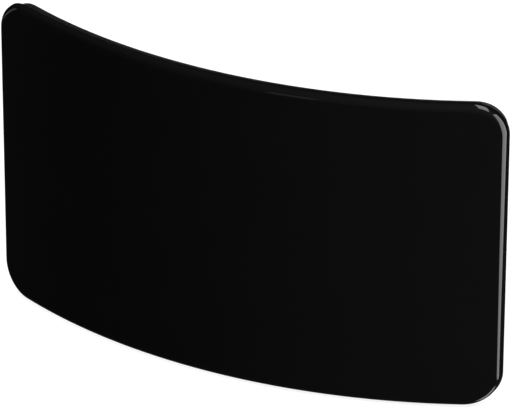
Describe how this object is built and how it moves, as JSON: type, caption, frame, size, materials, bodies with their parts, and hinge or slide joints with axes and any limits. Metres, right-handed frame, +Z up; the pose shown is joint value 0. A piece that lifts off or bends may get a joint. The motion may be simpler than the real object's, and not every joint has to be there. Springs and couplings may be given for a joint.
{
  "type": "television antenna",
  "caption": "Curved indoor television antenna: a glossy panel with rounded corners that stands on its lower edge, with a coaxial socket at the rear.",
  "frame": {"origin": "middle of the centre foot's underside, on the surface that the antenna stands on", "axes": "+X along the width, to the right of a viewer in front; +Y from the glossy front to the rear; +Z up"},
  "size_m": [0.24, 0.0402, 0.1435],
  "materials": {
    "gloss_black": "high gloss black moulding",
    "matt_black": "fine spark-eroded texture",
    "tinplate": "bright tinplate",
    "circuit_board": "green solder mask",
    "chip_black": "moulded epoxy",
    "filter_ceramic": "bare ceramic",
    "ferrite": "bare ferrite",
    "nickel": "bright nickel plate on brass",
    "contact_brass": "gold flash",
    "insulator_white": "natural moulding",
    "zinc_steel": "bright zinc plate",
    "foot_rubber": "matt rubber"
  },
  "bodies": {
    "root": {"front_cover": "gloss_black", "rear_cover": "matt_black", "dipole_wing_left": "tinplate", "dipole_wing_right": "tinplate", "amplifier_board": "circuit_board", "shield_frame": "tinplate", "shield_lid": "tinplate", "amplifier_chip": "chip_black", "filter_module": "filter_ceramic", "balun_core": "ferrite", "socket_body": "nickel", "socket_insulator": "insulator_white", "socket_contact": "contact_brass", "socket_washer": "nickel", "socket_nut": "nickel", "feed_screws": "zinc_steel", "board_screws": "zinc_steel", "cover_screws": "zinc_steel", "foot_pad_left": "foot_rubber", "foot_pad_centre": "foot_rubber", "foot_pad_right": "foot_rubber"}
  },
  "joints": []
}
